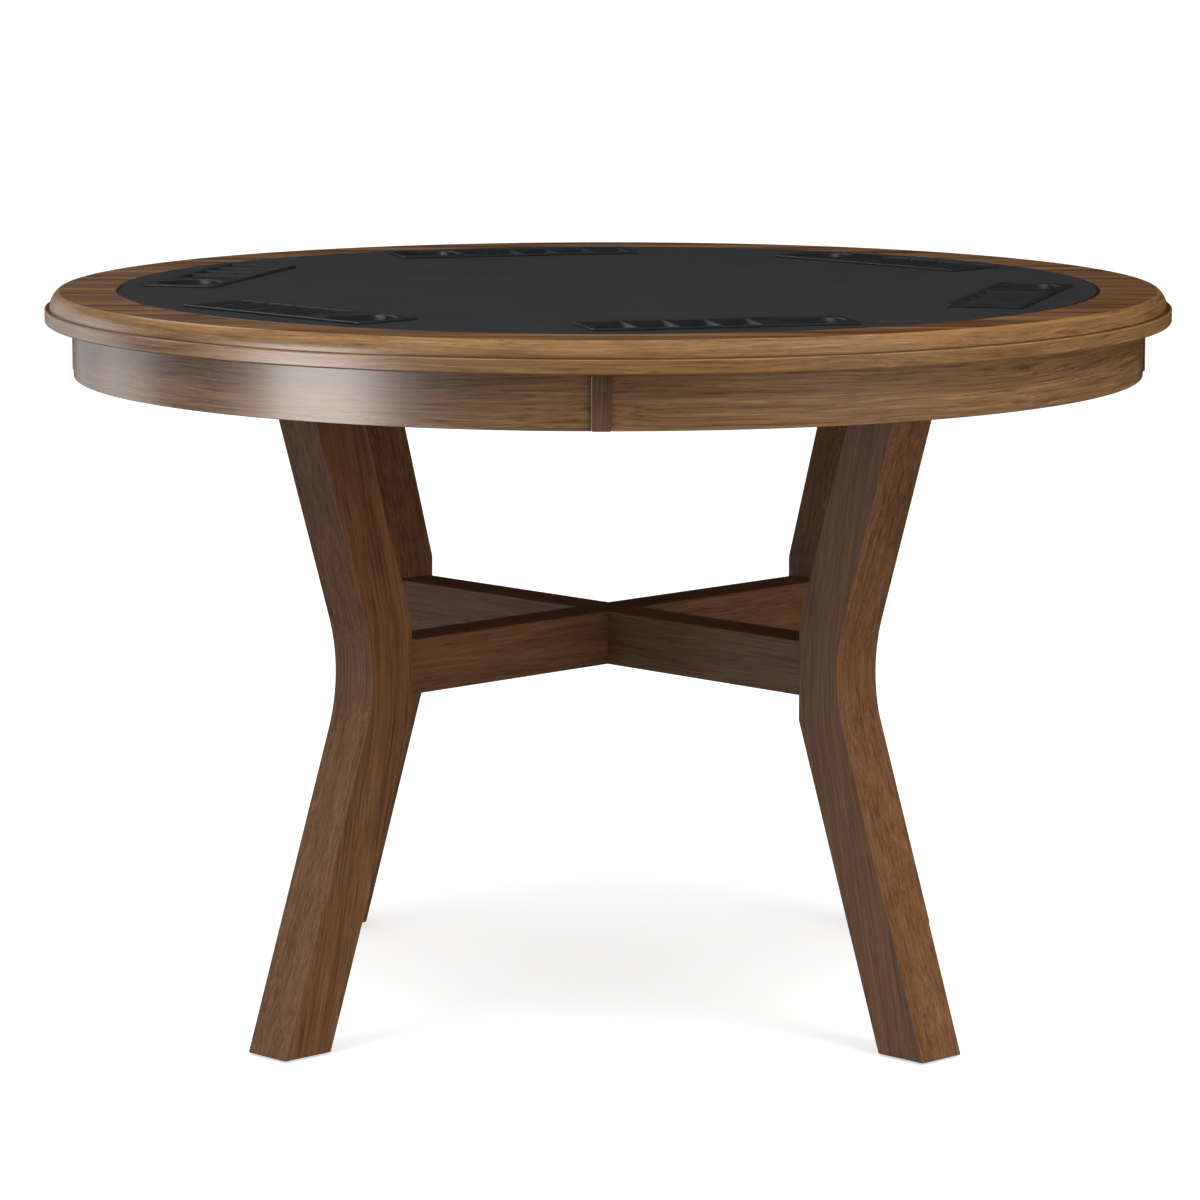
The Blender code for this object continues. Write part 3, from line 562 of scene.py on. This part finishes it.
def moulding_profile():
    """Edge moulding as (radius, height, worn_and_painted_light): convex crown, narrow step darkened with
    painted shade and flat band.
    """
    inner = RIM_FLAT_RADIUS + HAIRLINE
    rise = RIM_TOP - CROWN_STEP_TOP
    run = CROWN_STEP_RADIUS - inner - CROWN_FLAT
    crown_radius = (run ** 2 + rise ** 2) / (2 * run)
    crown_start = math.degrees(math.asin(rise / crown_radius))
    crown = arc((CROWN_STEP_RADIUS - crown_radius, CROWN_STEP_TOP), crown_radius, 0, crown_start,
                CROWN_STEPS)
    outline = rounded_path([
        (inner, RIM_BOTTOM, 0.0),
        (TABLE_RADIUS, RIM_BOTTOM, FOOT_ROUND),
        (TABLE_RADIUS, CROWN_STEP_BOTTOM, BAND_ROUND),
        (TABLE_RADIUS - BAND_ROUND - HAIRLINE, CROWN_STEP_BOTTOM, 0.0),
        (CROWN_STEP_RADIUS, CROWN_STEP_BOTTOM, CROWN_HEEL_ROUND),
        *crown[:-1],
        (*crown[-1][:2], CROWN_BEAD),
        (inner, RIM_TOP, CROWN_ARRIS),
    ], steps=MOULDING_ROUND_STEPS)
    # The step's corner under the crown gets -1: painted shade, darkened where the crown shades it
    ledge = (CROWN_STEP_BOTTOM - HAIRLINE, CROWN_STEP_TOP + CROWN_PAINTED_SHADE_REACH)
    with_painted_shade = []
    for radius, height, worn_and_painted_light in outline:
        in_step = ledge[0] < height < ledge[1] and radius > CROWN_STEP_RADIUS - CROWN_PAINTED_SHADE_REACH
        with_painted_shade.append((radius, height, -1.0 if in_step else worn_and_painted_light))
    return with_painted_shade


def build_moulding():
    """Four lengths of solid edge moulding, with joints on the diagonals."""
    profile = moulding_profile()
    trim = math.degrees(HAIRLINE / 2 / TABLE_RADIUS)
    for number in QUARTERS:
        start = 90 * number - 45 + trim
        name = f"edge_moulding_{number}"
        length = swept(f"{name}_wood", profile, start, 90 - 2 * trim, QUARTER_STEPS,
                       finishes["edge_wood"])
        stand_in(length, name, TABLE)


def build_apron():
    """Bent apron panels and the battens over their joints."""
    profile = rounded_path([(APRON_INNER_RADIUS, APRON_BOTTOM, APRON_EDGE),
                            (APRON_OUTER_RADIUS, APRON_BOTTOM, APRON_EDGE),
                            (APRON_OUTER_RADIUS, APRON_TOP, 0.0),
                            (APRON_INNER_RADIUS, APRON_TOP, 0.0)])
    end_angle = math.degrees(math.asin((BATTEN_WIDTH / 2 + HAIRLINE) / APRON_OUTER_RADIUS))
    for number in QUARTERS:
        angle = 90 * (number - 1)
        name = f"apron_{number}"
        panel = swept(f"{name}_veneer", profile, angle + end_angle, 90 - 2 * end_angle,
                      QUARTER_STEPS, finishes["apron_veneer"],
                      offset=(2.13 * number, 0.43 * number, 0.29 * number))
        stand_in(panel, name, TABLE)

        heights = [(APRON_BOTTOM, BATTEN_EDGE), (APRON_BOTTOM + BATTEN_EDGE, 0.0), (APRON_TOP, 0.0)]
        rings = []
        for height, inset in heights:
            section = box_section(BATTEN_LOW.x + inset, BATTEN_HIGH.x - inset,
                                  inset - BATTEN_WIDTH / 2, BATTEN_WIDTH / 2 - inset, BATTEN_EDGE)
            rings.append([(x, y, height) for x, y, _ in section])
        wear_and_painted_light = np.tile([worn_and_painted_light for _, _, worn_and_painted_light in section], len(heights))
        vertices, faces = quads(rings)
        grain = vertices[:, [2, 1, 0]] + np.array((0.7 * number, 0.11 * number, 0.0))
        batten = piece(f"apron_batten_{number}_wood", vertices, faces, finishes["batten_wood"],
                       grain, wear_and_painted_light)
        turned_to(batten, angle)
        stand_in(batten, f"apron_batten_{number}", TABLE)


# ---------------------------------------------------------------- legs and stretchers

def outer_face(height):
    """Radius of a leg's outer face, straight members with a round waist between them."""
    corner = Vector((WAIST_RADIUS, WAIST_HEIGHT))
    down = Vector((LOWER_SLOPE, -1)).normalized()
    up = Vector((UPPER_SLOPE, 1)).normalized()
    half = down.angle(up) / 2
    centre = corner + (down + up).normalized() * WAIST_ROUND / math.sin(half)
    reach = WAIST_ROUND / math.tan(half)
    if corner.y + down.y * reach < height < corner.y + up.y * reach:
        return centre.x - math.sqrt(WAIST_ROUND ** 2 - (height - centre.y) ** 2)
    if height > WAIST_HEIGHT:
        return WAIST_RADIUS + UPPER_SLOPE * (height - WAIST_HEIGHT)
    return WAIST_RADIUS + LOWER_SLOPE * (WAIST_HEIGHT - height)


def inner_face(height):
    """Radius of a leg's inner face, flat where the stretcher meets it."""
    above = max(0.0, height - INNER_FACE_HIGH)
    below = max(0.0, INNER_FACE_LOW - height)
    return INNER_FACE + UPPER_SLOPE * above + LOWER_SLOPE * below


def leg_heights():
    """Heights of a leg's sections, closer together at the ends and at the face's corners."""
    heights = list(np.linspace(LEG_LOW.z, LEG_HIGH.z, LEG_SECTIONS))
    for corner in (INNER_FACE_LOW, INNER_FACE_HIGH):
        heights += [corner - LEG_CORNER_STEP, corner, corner + LEG_CORNER_STEP]
    for end, way in ((LEG_LOW.z, 1), (LEG_HIGH.z, -1)):
        heights += [end + way * LEG_EDGE * share for share in LEG_END_SHARES]
    return sorted(heights)


def build_legs():
    """Four legs with softened edges."""
    rings = []
    grain = []
    wear_and_painted_light = []
    for height in leg_heights():
        end_distance = min(height - LEG_LOW.z, LEG_HIGH.z - height, LEG_EDGE)
        part = 1 - end_distance / LEG_EDGE
        inset = LEG_EDGE * (1 - math.sqrt(1 - part ** 2))
        half = LEG_THICKNESS / 2 - inset
        near = inner_face(height) + inset
        far = outer_face(height) - inset
        section = box_section(near, far, -half, half, LEG_EDGE)
        rings.append([(x, y, height) for x, y, _ in section])
        lean = GRAIN_LEAN * ((near + far) / 2 - INNER_FACE)
        grain.append([(height, x - lean, y) for x, y, _ in section])
        wear_and_painted_light.append([worn_and_painted_light for _, _, worn_and_painted_light in section])
    vertices, faces = quads(rings)
    grain = np.array(grain).reshape(-1, 3)
    wear_and_painted_light = np.array(wear_and_painted_light).ravel()
    for number in QUARTERS:
        leg = piece(f"leg_{number}_wood", vertices, faces, finishes["leg_wood"],
                    grain + np.array((0.9, 0.37, 0.23)) * number, wear_and_painted_light)
        turned_to(leg, 90 * number - 45)
        stand_in(leg, f"leg_{number}", TABLE)


def build_stretchers():
    """Two crossed stretchers, half-lapped at the middle."""
    low, high = STRETCHER_LOW.z, STRETCHER_HIGH.z
    middle = (low + high) / 2
    reach = INNER_FACE - HAIRLINE
    notch = STRETCHER_THICKNESS / 2 + HAIRLINE
    half = STRETCHER_THICKNESS / 2
    for name, angle, notch_below in (("stretcher_a", 45, True), ("stretcher_b", 135, False)):
        full = (low, high)
        lapped = (middle, high) if notch_below else (low, middle)
        stations = [(-reach, full), (-notch, full), (-notch, lapped), (notch, lapped),
                    (notch, full), (reach, full)]
        rings = []
        for x, (bottom, top) in stations:
            section = box_section(-half, half, bottom, top, STRETCHER_EDGE)
            rings.append([(x, y, z) for y, z, _ in section])
        wear_and_painted_light = np.tile([worn_and_painted_light for _, _, worn_and_painted_light in section], len(stations))
        vertices, faces = quads(rings)
        grain = vertices[:, [0, 2, 1]] + np.array((angle * 0.01, angle * 0.003, 0.1))
        bar = piece(f"{name}_wood", vertices, faces, finishes["stretcher_wood"], grain, wear_and_painted_light)
        turned_to(bar, angle)
        stand_in(bar, name, TABLE)


# ---------------------------------------------------------------- insert

def build_cloth():
    """Cloth over the insert's board, cut out for the trays and turned down at its edge."""
    radius = INSERT_RADIUS - BAND_THICKNESS - HAIRLINE
    mesh = bmesh.new()

    def loop(points):
        verts = [mesh.verts.new(point) for point in points]
        return [mesh.edges.new((verts[index - 1], verts[index])) for index in range(len(verts))], verts

    flat_radius = radius - CLOTH_EDGE
    angles = [2 * math.pi * step / RIM_STEPS for step in range(RIM_STEPS)]
    edges, rim_verts = loop([(flat_radius * math.cos(a), flat_radius * math.sin(a), RIM_TOP)
                             for a in angles])
    half_x, half_y = POCKET_WIDTH / 2, POCKET_LENGTH / 2
    for number in STATIONS:
        turn = Matrix.Rotation(math.radians(60 * number - 15), 4, "Z")
        outline = box_section(STATION_RADIUS - half_x, STATION_RADIUS + half_x, -half_y, half_y,
                              POCKET_CORNER)
        edges += loop([turn @ Vector((x, y, RIM_TOP)) for x, y, _ in outline])[0]
    bmesh.ops.triangle_fill(mesh, edges=edges, use_beauty=True, use_dissolve=False)
    previous = rim_verts
    for step in range(1, ROUND_STEPS + 1):
        turn = math.pi / 2 * step / ROUND_STEPS
        ring_radius = flat_radius + CLOTH_EDGE * math.sin(turn)
        height = RIM_TOP - CLOTH_EDGE * (1 - math.cos(turn))
        ring = [mesh.verts.new((ring_radius * math.cos(a), ring_radius * math.sin(a), height))
                for a in angles]
        for index in range(RIM_STEPS):
            mesh.faces.new((previous[index - 1], previous[index], ring[index], ring[index - 1]))
        previous = ring
    bmesh.ops.recalc_face_normals(mesh, faces=mesh.faces)
    if sum(face.normal.z for face in mesh.faces) < 0:
        bmesh.ops.reverse_faces(mesh, faces=mesh.faces)
    data = bpy.data.meshes.new("playing_cloth")
    mesh.to_mesh(data)
    mesh.free()
    cloth = shown("playing_cloth", data, finishes["playing_cloth"])
    thick = cloth.modifiers.new("thickness", "SOLIDIFY")
    thick.thickness = CLOTH_THICKNESS - CLOTH_EDGE
    cloth.modifiers.move(1, 0)
    stand_in(cloth, "playing_surface", INSERT)


def build_edge_band():
    """Plastic band round the insert, rounded over at the top."""
    inner = INSERT_RADIUS - BAND_THICKNESS
    profile = rounded_path([(inner, BAND_LOW.z, 0.0), (INSERT_RADIUS, BAND_LOW.z, BAND_FOOT_ROUND),
                            (INSERT_RADIUS, RIM_TOP, BAND_TOP_ROUND),
                            (inner, RIM_TOP, BAND_INNER_ROUND)])
    band = swept("insert_band", profile, 0, 360, RIM_STEPS, finishes["edge_band"])
    stand_in(band, "insert_edge_band", INSERT)


def groove_path():
    """Tray section along its length: (place, depth) through the four grooves."""
    centre_depth = GROOVE_DEPTH - GROOVE_RADIUS
    half_angle = math.degrees(math.acos(-centre_depth / GROOVE_RADIUS))
    start = -TRAY_FIELD_LENGTH / 2
    corners = [(start, 0.0, 0.0), (start + FIELD_MARGIN, 0.0, 0.0)]
    for index in range(GROOVE_COUNT):
        middle = GROOVE_FIRST + index * GROOVE_PITCH
        curve = arc((middle, centre_depth), GROOVE_RADIUS, 90 + half_angle, 90 - half_angle,
                    GROOVE_STEPS)
        curve[0] = (*curve[0][:2], GROOVE_LIP)
        curve[-1] = (*curve[-1][:2], GROOVE_LIP)
        corners += curve
    last = GROOVE_FIRST + (GROOVE_COUNT - 1) * GROOVE_PITCH + GROOVE_PITCH / 2
    cup_start = CUP_OFFSET - TRAY_FIELD_WIDTH / 2
    corners += [(last, 0.0, 0.0), ((last + cup_start) / 2, 0.0, 0.0), (cup_start, 0.0, 0.0)]
    return [(place, depth) for place, depth, _ in rounded_path(corners, 4, closed=False)]


def end_wall_path():
    """Tray section across its width: (place, share of the groove's depth)."""
    edge = TRAY_FIELD_WIDTH / 2
    lip = GROOVE_LENGTH / 2
    heel = lip - WALL_DRAFT
    floor_steps = 24
    half = [(-edge, 0.0, 0.0), (-edge + FIELD_MARGIN, 0.0, 0.0), (-lip, 0.0, GROOVE_LIP),
            (-heel, GROOVE_DEPTH, GROOVE_HEEL)]
    floor = [(place, GROOVE_DEPTH, 0.0) for place in np.linspace(-0.9 * heel, 0.9 * heel, floor_steps)]
    mirrored = [(-place, depth, radius) for place, depth, radius in reversed(half)]
    return [(place, depth / GROOVE_DEPTH)
            for place, depth, _ in rounded_path(half + floor + mirrored, 4, closed=False)]


def field_outline(along_places, across_places):
    """Points round the tray's inner field, from one grid's edge samples."""
    half = TRAY_FIELD_WIDTH / 2
    low, high = along_places[0], along_places[-1]
    points = [(x, low) for x in across_places[:-1]]
    points += [(half, y) for y in along_places[:-1]]
    points += [(x, high) for x in reversed(across_places[1:])]
    points += [(-half, y) for y in reversed(along_places[1:])]
    return points


def flange_point(x, y, inset):
    """Place on the flange's rounded outline, drawn in by an inset, next to a field point."""
    half_x = TRAY_WIDTH / 2 - TRAY_CORNER
    half_y = TRAY_LENGTH / 2 - TRAY_CORNER
    radius = TRAY_CORNER - inset
    beyond = Vector((max(0.0, abs(x) - half_x), max(0.0, abs(y) - half_y)))
    if beyond.length == 0:
        beyond = Vector((1, 0))
    beyond = beyond.normalized() * radius
    return (math.copysign(min(abs(x), half_x) + beyond.x, x),
            math.copysign(min(abs(y), half_y) + beyond.y, y))


def tray_mesh():
    """Moulded tray about its own centre, radial along X: grooves, cup and rolled flange."""
    vertices = []
    faces = []

    def add_grid(rows):
        start = len(vertices)
        width = len(rows[0])
        for row in rows:
            vertices.extend(row)
        for i in range(len(rows) - 1):
            for j in range(width - 1):
                first = start + i * width + j
                faces.append((first, first + 1, first + width + 1, first + width))

    def add_rings(rings):
        add_grid([[*ring, ring[0]] for ring in rings])

    along = groove_path()
    across = end_wall_path()
    add_grid([[(x, y, TRAY_TOP - depth * share) for x, share in across] for y, depth in along])

    # The cup's square field, its lip, wall, rounded heel and floor
    across_places = [x for x, _ in across]
    cup_start = along[-1][0]
    field_end = TRAY_FIELD_LENGTH / 2
    cup_places = list(np.linspace(cup_start, field_end - 3 * FIELD_MARGIN, CUP_STEPS))
    cup_places += [field_end - 2 * FIELD_MARGIN, field_end - FIELD_MARGIN, field_end]
    square = field_outline(cup_places, across_places)
    floor_height = TRAY_TOP - CUP_DEPTH
    ridge_height = floor_height + CUP_RIDGE_HEIGHT
    wall = rounded_path([(CUP_RADIUS + 2 * CUP_LIP, TRAY_TOP, 0.0), (CUP_RADIUS, TRAY_TOP, CUP_LIP),
                         (CUP_RADIUS - WALL_DRAFT, floor_height, CUP_HEEL),
                         (CUP_RADIUS * CUP_RIDGE_OUTSIDE[0], floor_height, 0.0),
                         (CUP_RADIUS * CUP_RIDGE_OUTSIDE[1], ridge_height, 0.0),
                         (CUP_RADIUS * CUP_RIDGE_INSIDE[0], ridge_height, 0.0),
                         (CUP_RADIUS * CUP_RIDGE_INSIDE[1], floor_height, 0.0),
                         (0.0, floor_height, 0.0)],
                        6, closed=False)[1:]
    turns = [math.atan2(y - CUP_OFFSET, x) for x, y in square]
    rings = [[(x, y, TRAY_TOP) for x, y in square]]
    for radius, height, _ in wall:
        rings.append([(radius * math.cos(turn), CUP_OFFSET + radius * math.sin(turn), height)
                      for turn in turns])
    add_rings(rings)

    # The flange from the field's edge over its rounded rim and down to the cloth
    outline = field_outline([y for y, _ in along] + cup_places[1:], across_places)
    rings = [[(x, y, TRAY_TOP) for x, y in outline]]
    for step in range(ROUND_STEPS + 1):
        turn = math.pi / 2 * step / ROUND_STEPS
        inset = TRAY_EDGE * (1 - math.sin(turn))
        height = TRAY_TOP - TRAY_EDGE * (1 - math.cos(turn))
        rings.append([(*flange_point(x, y, inset), height) for x, y in outline])
    rings.append([(*flange_point(x, y, 0.0), RIM_TOP + HAIRLINE) for x, y in outline])
    add_rings(rings)
    return vertices, faces


def build_trays():
    """Six trays of one moulding."""
    vertices, faces = tray_mesh()
    for number in STATIONS:
        tray = piece(f"station_tray_{number}_moulding", vertices, faces, finishes["tray_plastic"],
                     merge=1e-5)
        if number == STATIONS[0]:
            shared = tray.data
            mesh = bmesh.new()
            mesh.from_mesh(shared)
            if sum(face.normal.z * face.calc_area() for face in mesh.faces) < 0:
                bmesh.ops.reverse_faces(mesh, faces=mesh.faces)
            mesh.to_mesh(shared)
            mesh.free()
        else:
            tray.data = shared
        tray.matrix_world = Matrix.Translation((STATION_RADIUS, 0, 0))
        turned_to(tray, 60 * number - 15)
        thick = tray.modifiers.new("wall", "SOLIDIFY")
        thick.thickness = TRAY_WALL
        tray.modifiers.move(1, 0)
        stand_in(tray, f"station_tray_{number}", INSERT)


# ---------------------------------------------------------------- hidden structure

def finish_cad_nodes():
    """Give the CAD nodes that stay shown their materials."""
    table = (("ledge", "raw_wood"), ("splice_block", "raw_wood"), ("cross_rail", "raw_wood"),
             ("stretcher_tenon", "raw_wood"), ("insert_core", "core_board"),
             ("insert_underside", "underside_veneer"), ("foot_glide", "glide_nylon"),
             ("leg_bolt", "bolt_steel"), ("rim_screw", "screw_steel"))
    for name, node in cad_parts.items():
        for prefix, finish in table:
            if name.startswith(prefix):
                for slot in node.material_slots:
                    slot.material = finishes[finish]


# ---------------------------------------------------------------- stage, light and camera

def build_floor():
    """Plain pale floor."""
    data = bpy.data.meshes.new("floor")
    corners = [(-1, -1), (1, -1), (1, 1), (-1, 1)]
    data.from_pydata([(FLOOR_HALF * x, FLOOR_HALF * y, 0) for x, y in corners], [], [(0, 1, 2, 3)])
    floor = bpy.data.objects.new("floor", data)
    bpy.context.collection.objects.link(floor)
    finish = Finish("floor")
    finish.set(Base_Color=(0.80, 0.80, 0.80, 1), Roughness=0.9, Specular_IOR_Level=0.0,
               Emission_Color=(1, 1, 1, 1), Emission_Strength=0.60)
    data.materials.append(finish.material)
    floor.visible_diffuse = False
    floor.visible_glossy = False
    floor.visible_shadow = False


def add_light(name, kind, energy, place, aim, size, lights):
    """Add a soft light aimed at a point, which lights by diffuse or by glossy reflection."""
    light = bpy.data.lights.new(name, kind)
    light.energy = energy
    if kind == "AREA":
        light.shape = "RECTANGLE"
        light.size, light.size_y = size
    else:
        light.angle = math.radians(size)
    made = bpy.data.objects.new(name, light)
    bpy.context.collection.objects.link(made)
    made.location = place
    made.rotation_euler = (Vector(aim) - Vector(place)).to_track_quat("-Z", "Y").to_euler()
    made.visible_diffuse = lights == "diffuse"
    made.visible_glossy = lights == "glossy"


def build_lights():
    """Studio: sky, overhead light and fills for the surfaces, and boxes seen only in reflections."""
    world = bpy.data.worlds.new("studio")
    bpy.context.scene.world = world
    world.use_nodes = True
    background = world.node_tree.nodes["Background"]
    background.inputs["Color"].default_value = (1, 1, 1, 1)
    background.inputs["Strength"].default_value = 0.33
    world.cycles_visibility.glossy = False
    add_light("overhead", "SUN", 1.1, (0, -0.6, 6), (0, 0, 0), 80, "diffuse")
    low, middle = (0, 0, 0.5), (0, 0, 0.6)
    left, near_left = (-0.5, 0, 0.7), (-0.4, -0.2, 0.78)
    boxes = (("left_fill", 25, (-1.35, -1.35, 2.5), low, (1.5, 1.5), "diffuse"),
             ("right_fill", 26, (1.35, -1.35, 2.5), low, (1.5, 1.5), "diffuse"),
             ("right_low_fill", 20, (2.2, -2.0, 0.9), middle, (1.5, 1.0), "diffuse"),
             ("left_soft_box", 112, (-2.43, -1.66, 0.2), middle, (1.2, 2.6), "glossy"),
             ("left_panel", 17, (-2.75, 1.15, 0.5), left, (1.2, 2.2), "glossy"),
             ("left_back_panel", 7, (-2.1, 2.2, 0.5), left, (1.3, 2.2), "glossy"),
             ("upper_back_panel", 16, (-1.6, 2.0, 3.0), near_left, (1.8, 1.0), "glossy"))
    for name, energy, place, aim, size, lights in boxes:
        add_light(name, "AREA", energy, place, aim, size, lights)
    bpy.context.scene.view_settings.view_transform = "Standard"


def build_camera():
    """Camera in front of the table and a little above it."""
    data = bpy.data.cameras.new("camera")
    data.lens = CAMERA_LENS
    data.sensor_width = 36.0
    data.clip_end = 3 * FLOOR_HALF
    camera = bpy.data.objects.new("camera", data)
    bpy.context.collection.objects.link(camera)
    camera.location = CAMERA_PLACE
    camera.rotation_euler = (math.radians(90 - CAMERA_TILT_DOWN), 0, math.radians(CAMERA_TURN))
    bpy.context.scene.camera = camera


build_camera()
build_lights()
build_floor()
build_rim()
build_moulding()
build_apron()
build_legs()
build_stretchers()
build_cloth()
build_edge_band()
build_trays()
finish_cad_nodes()
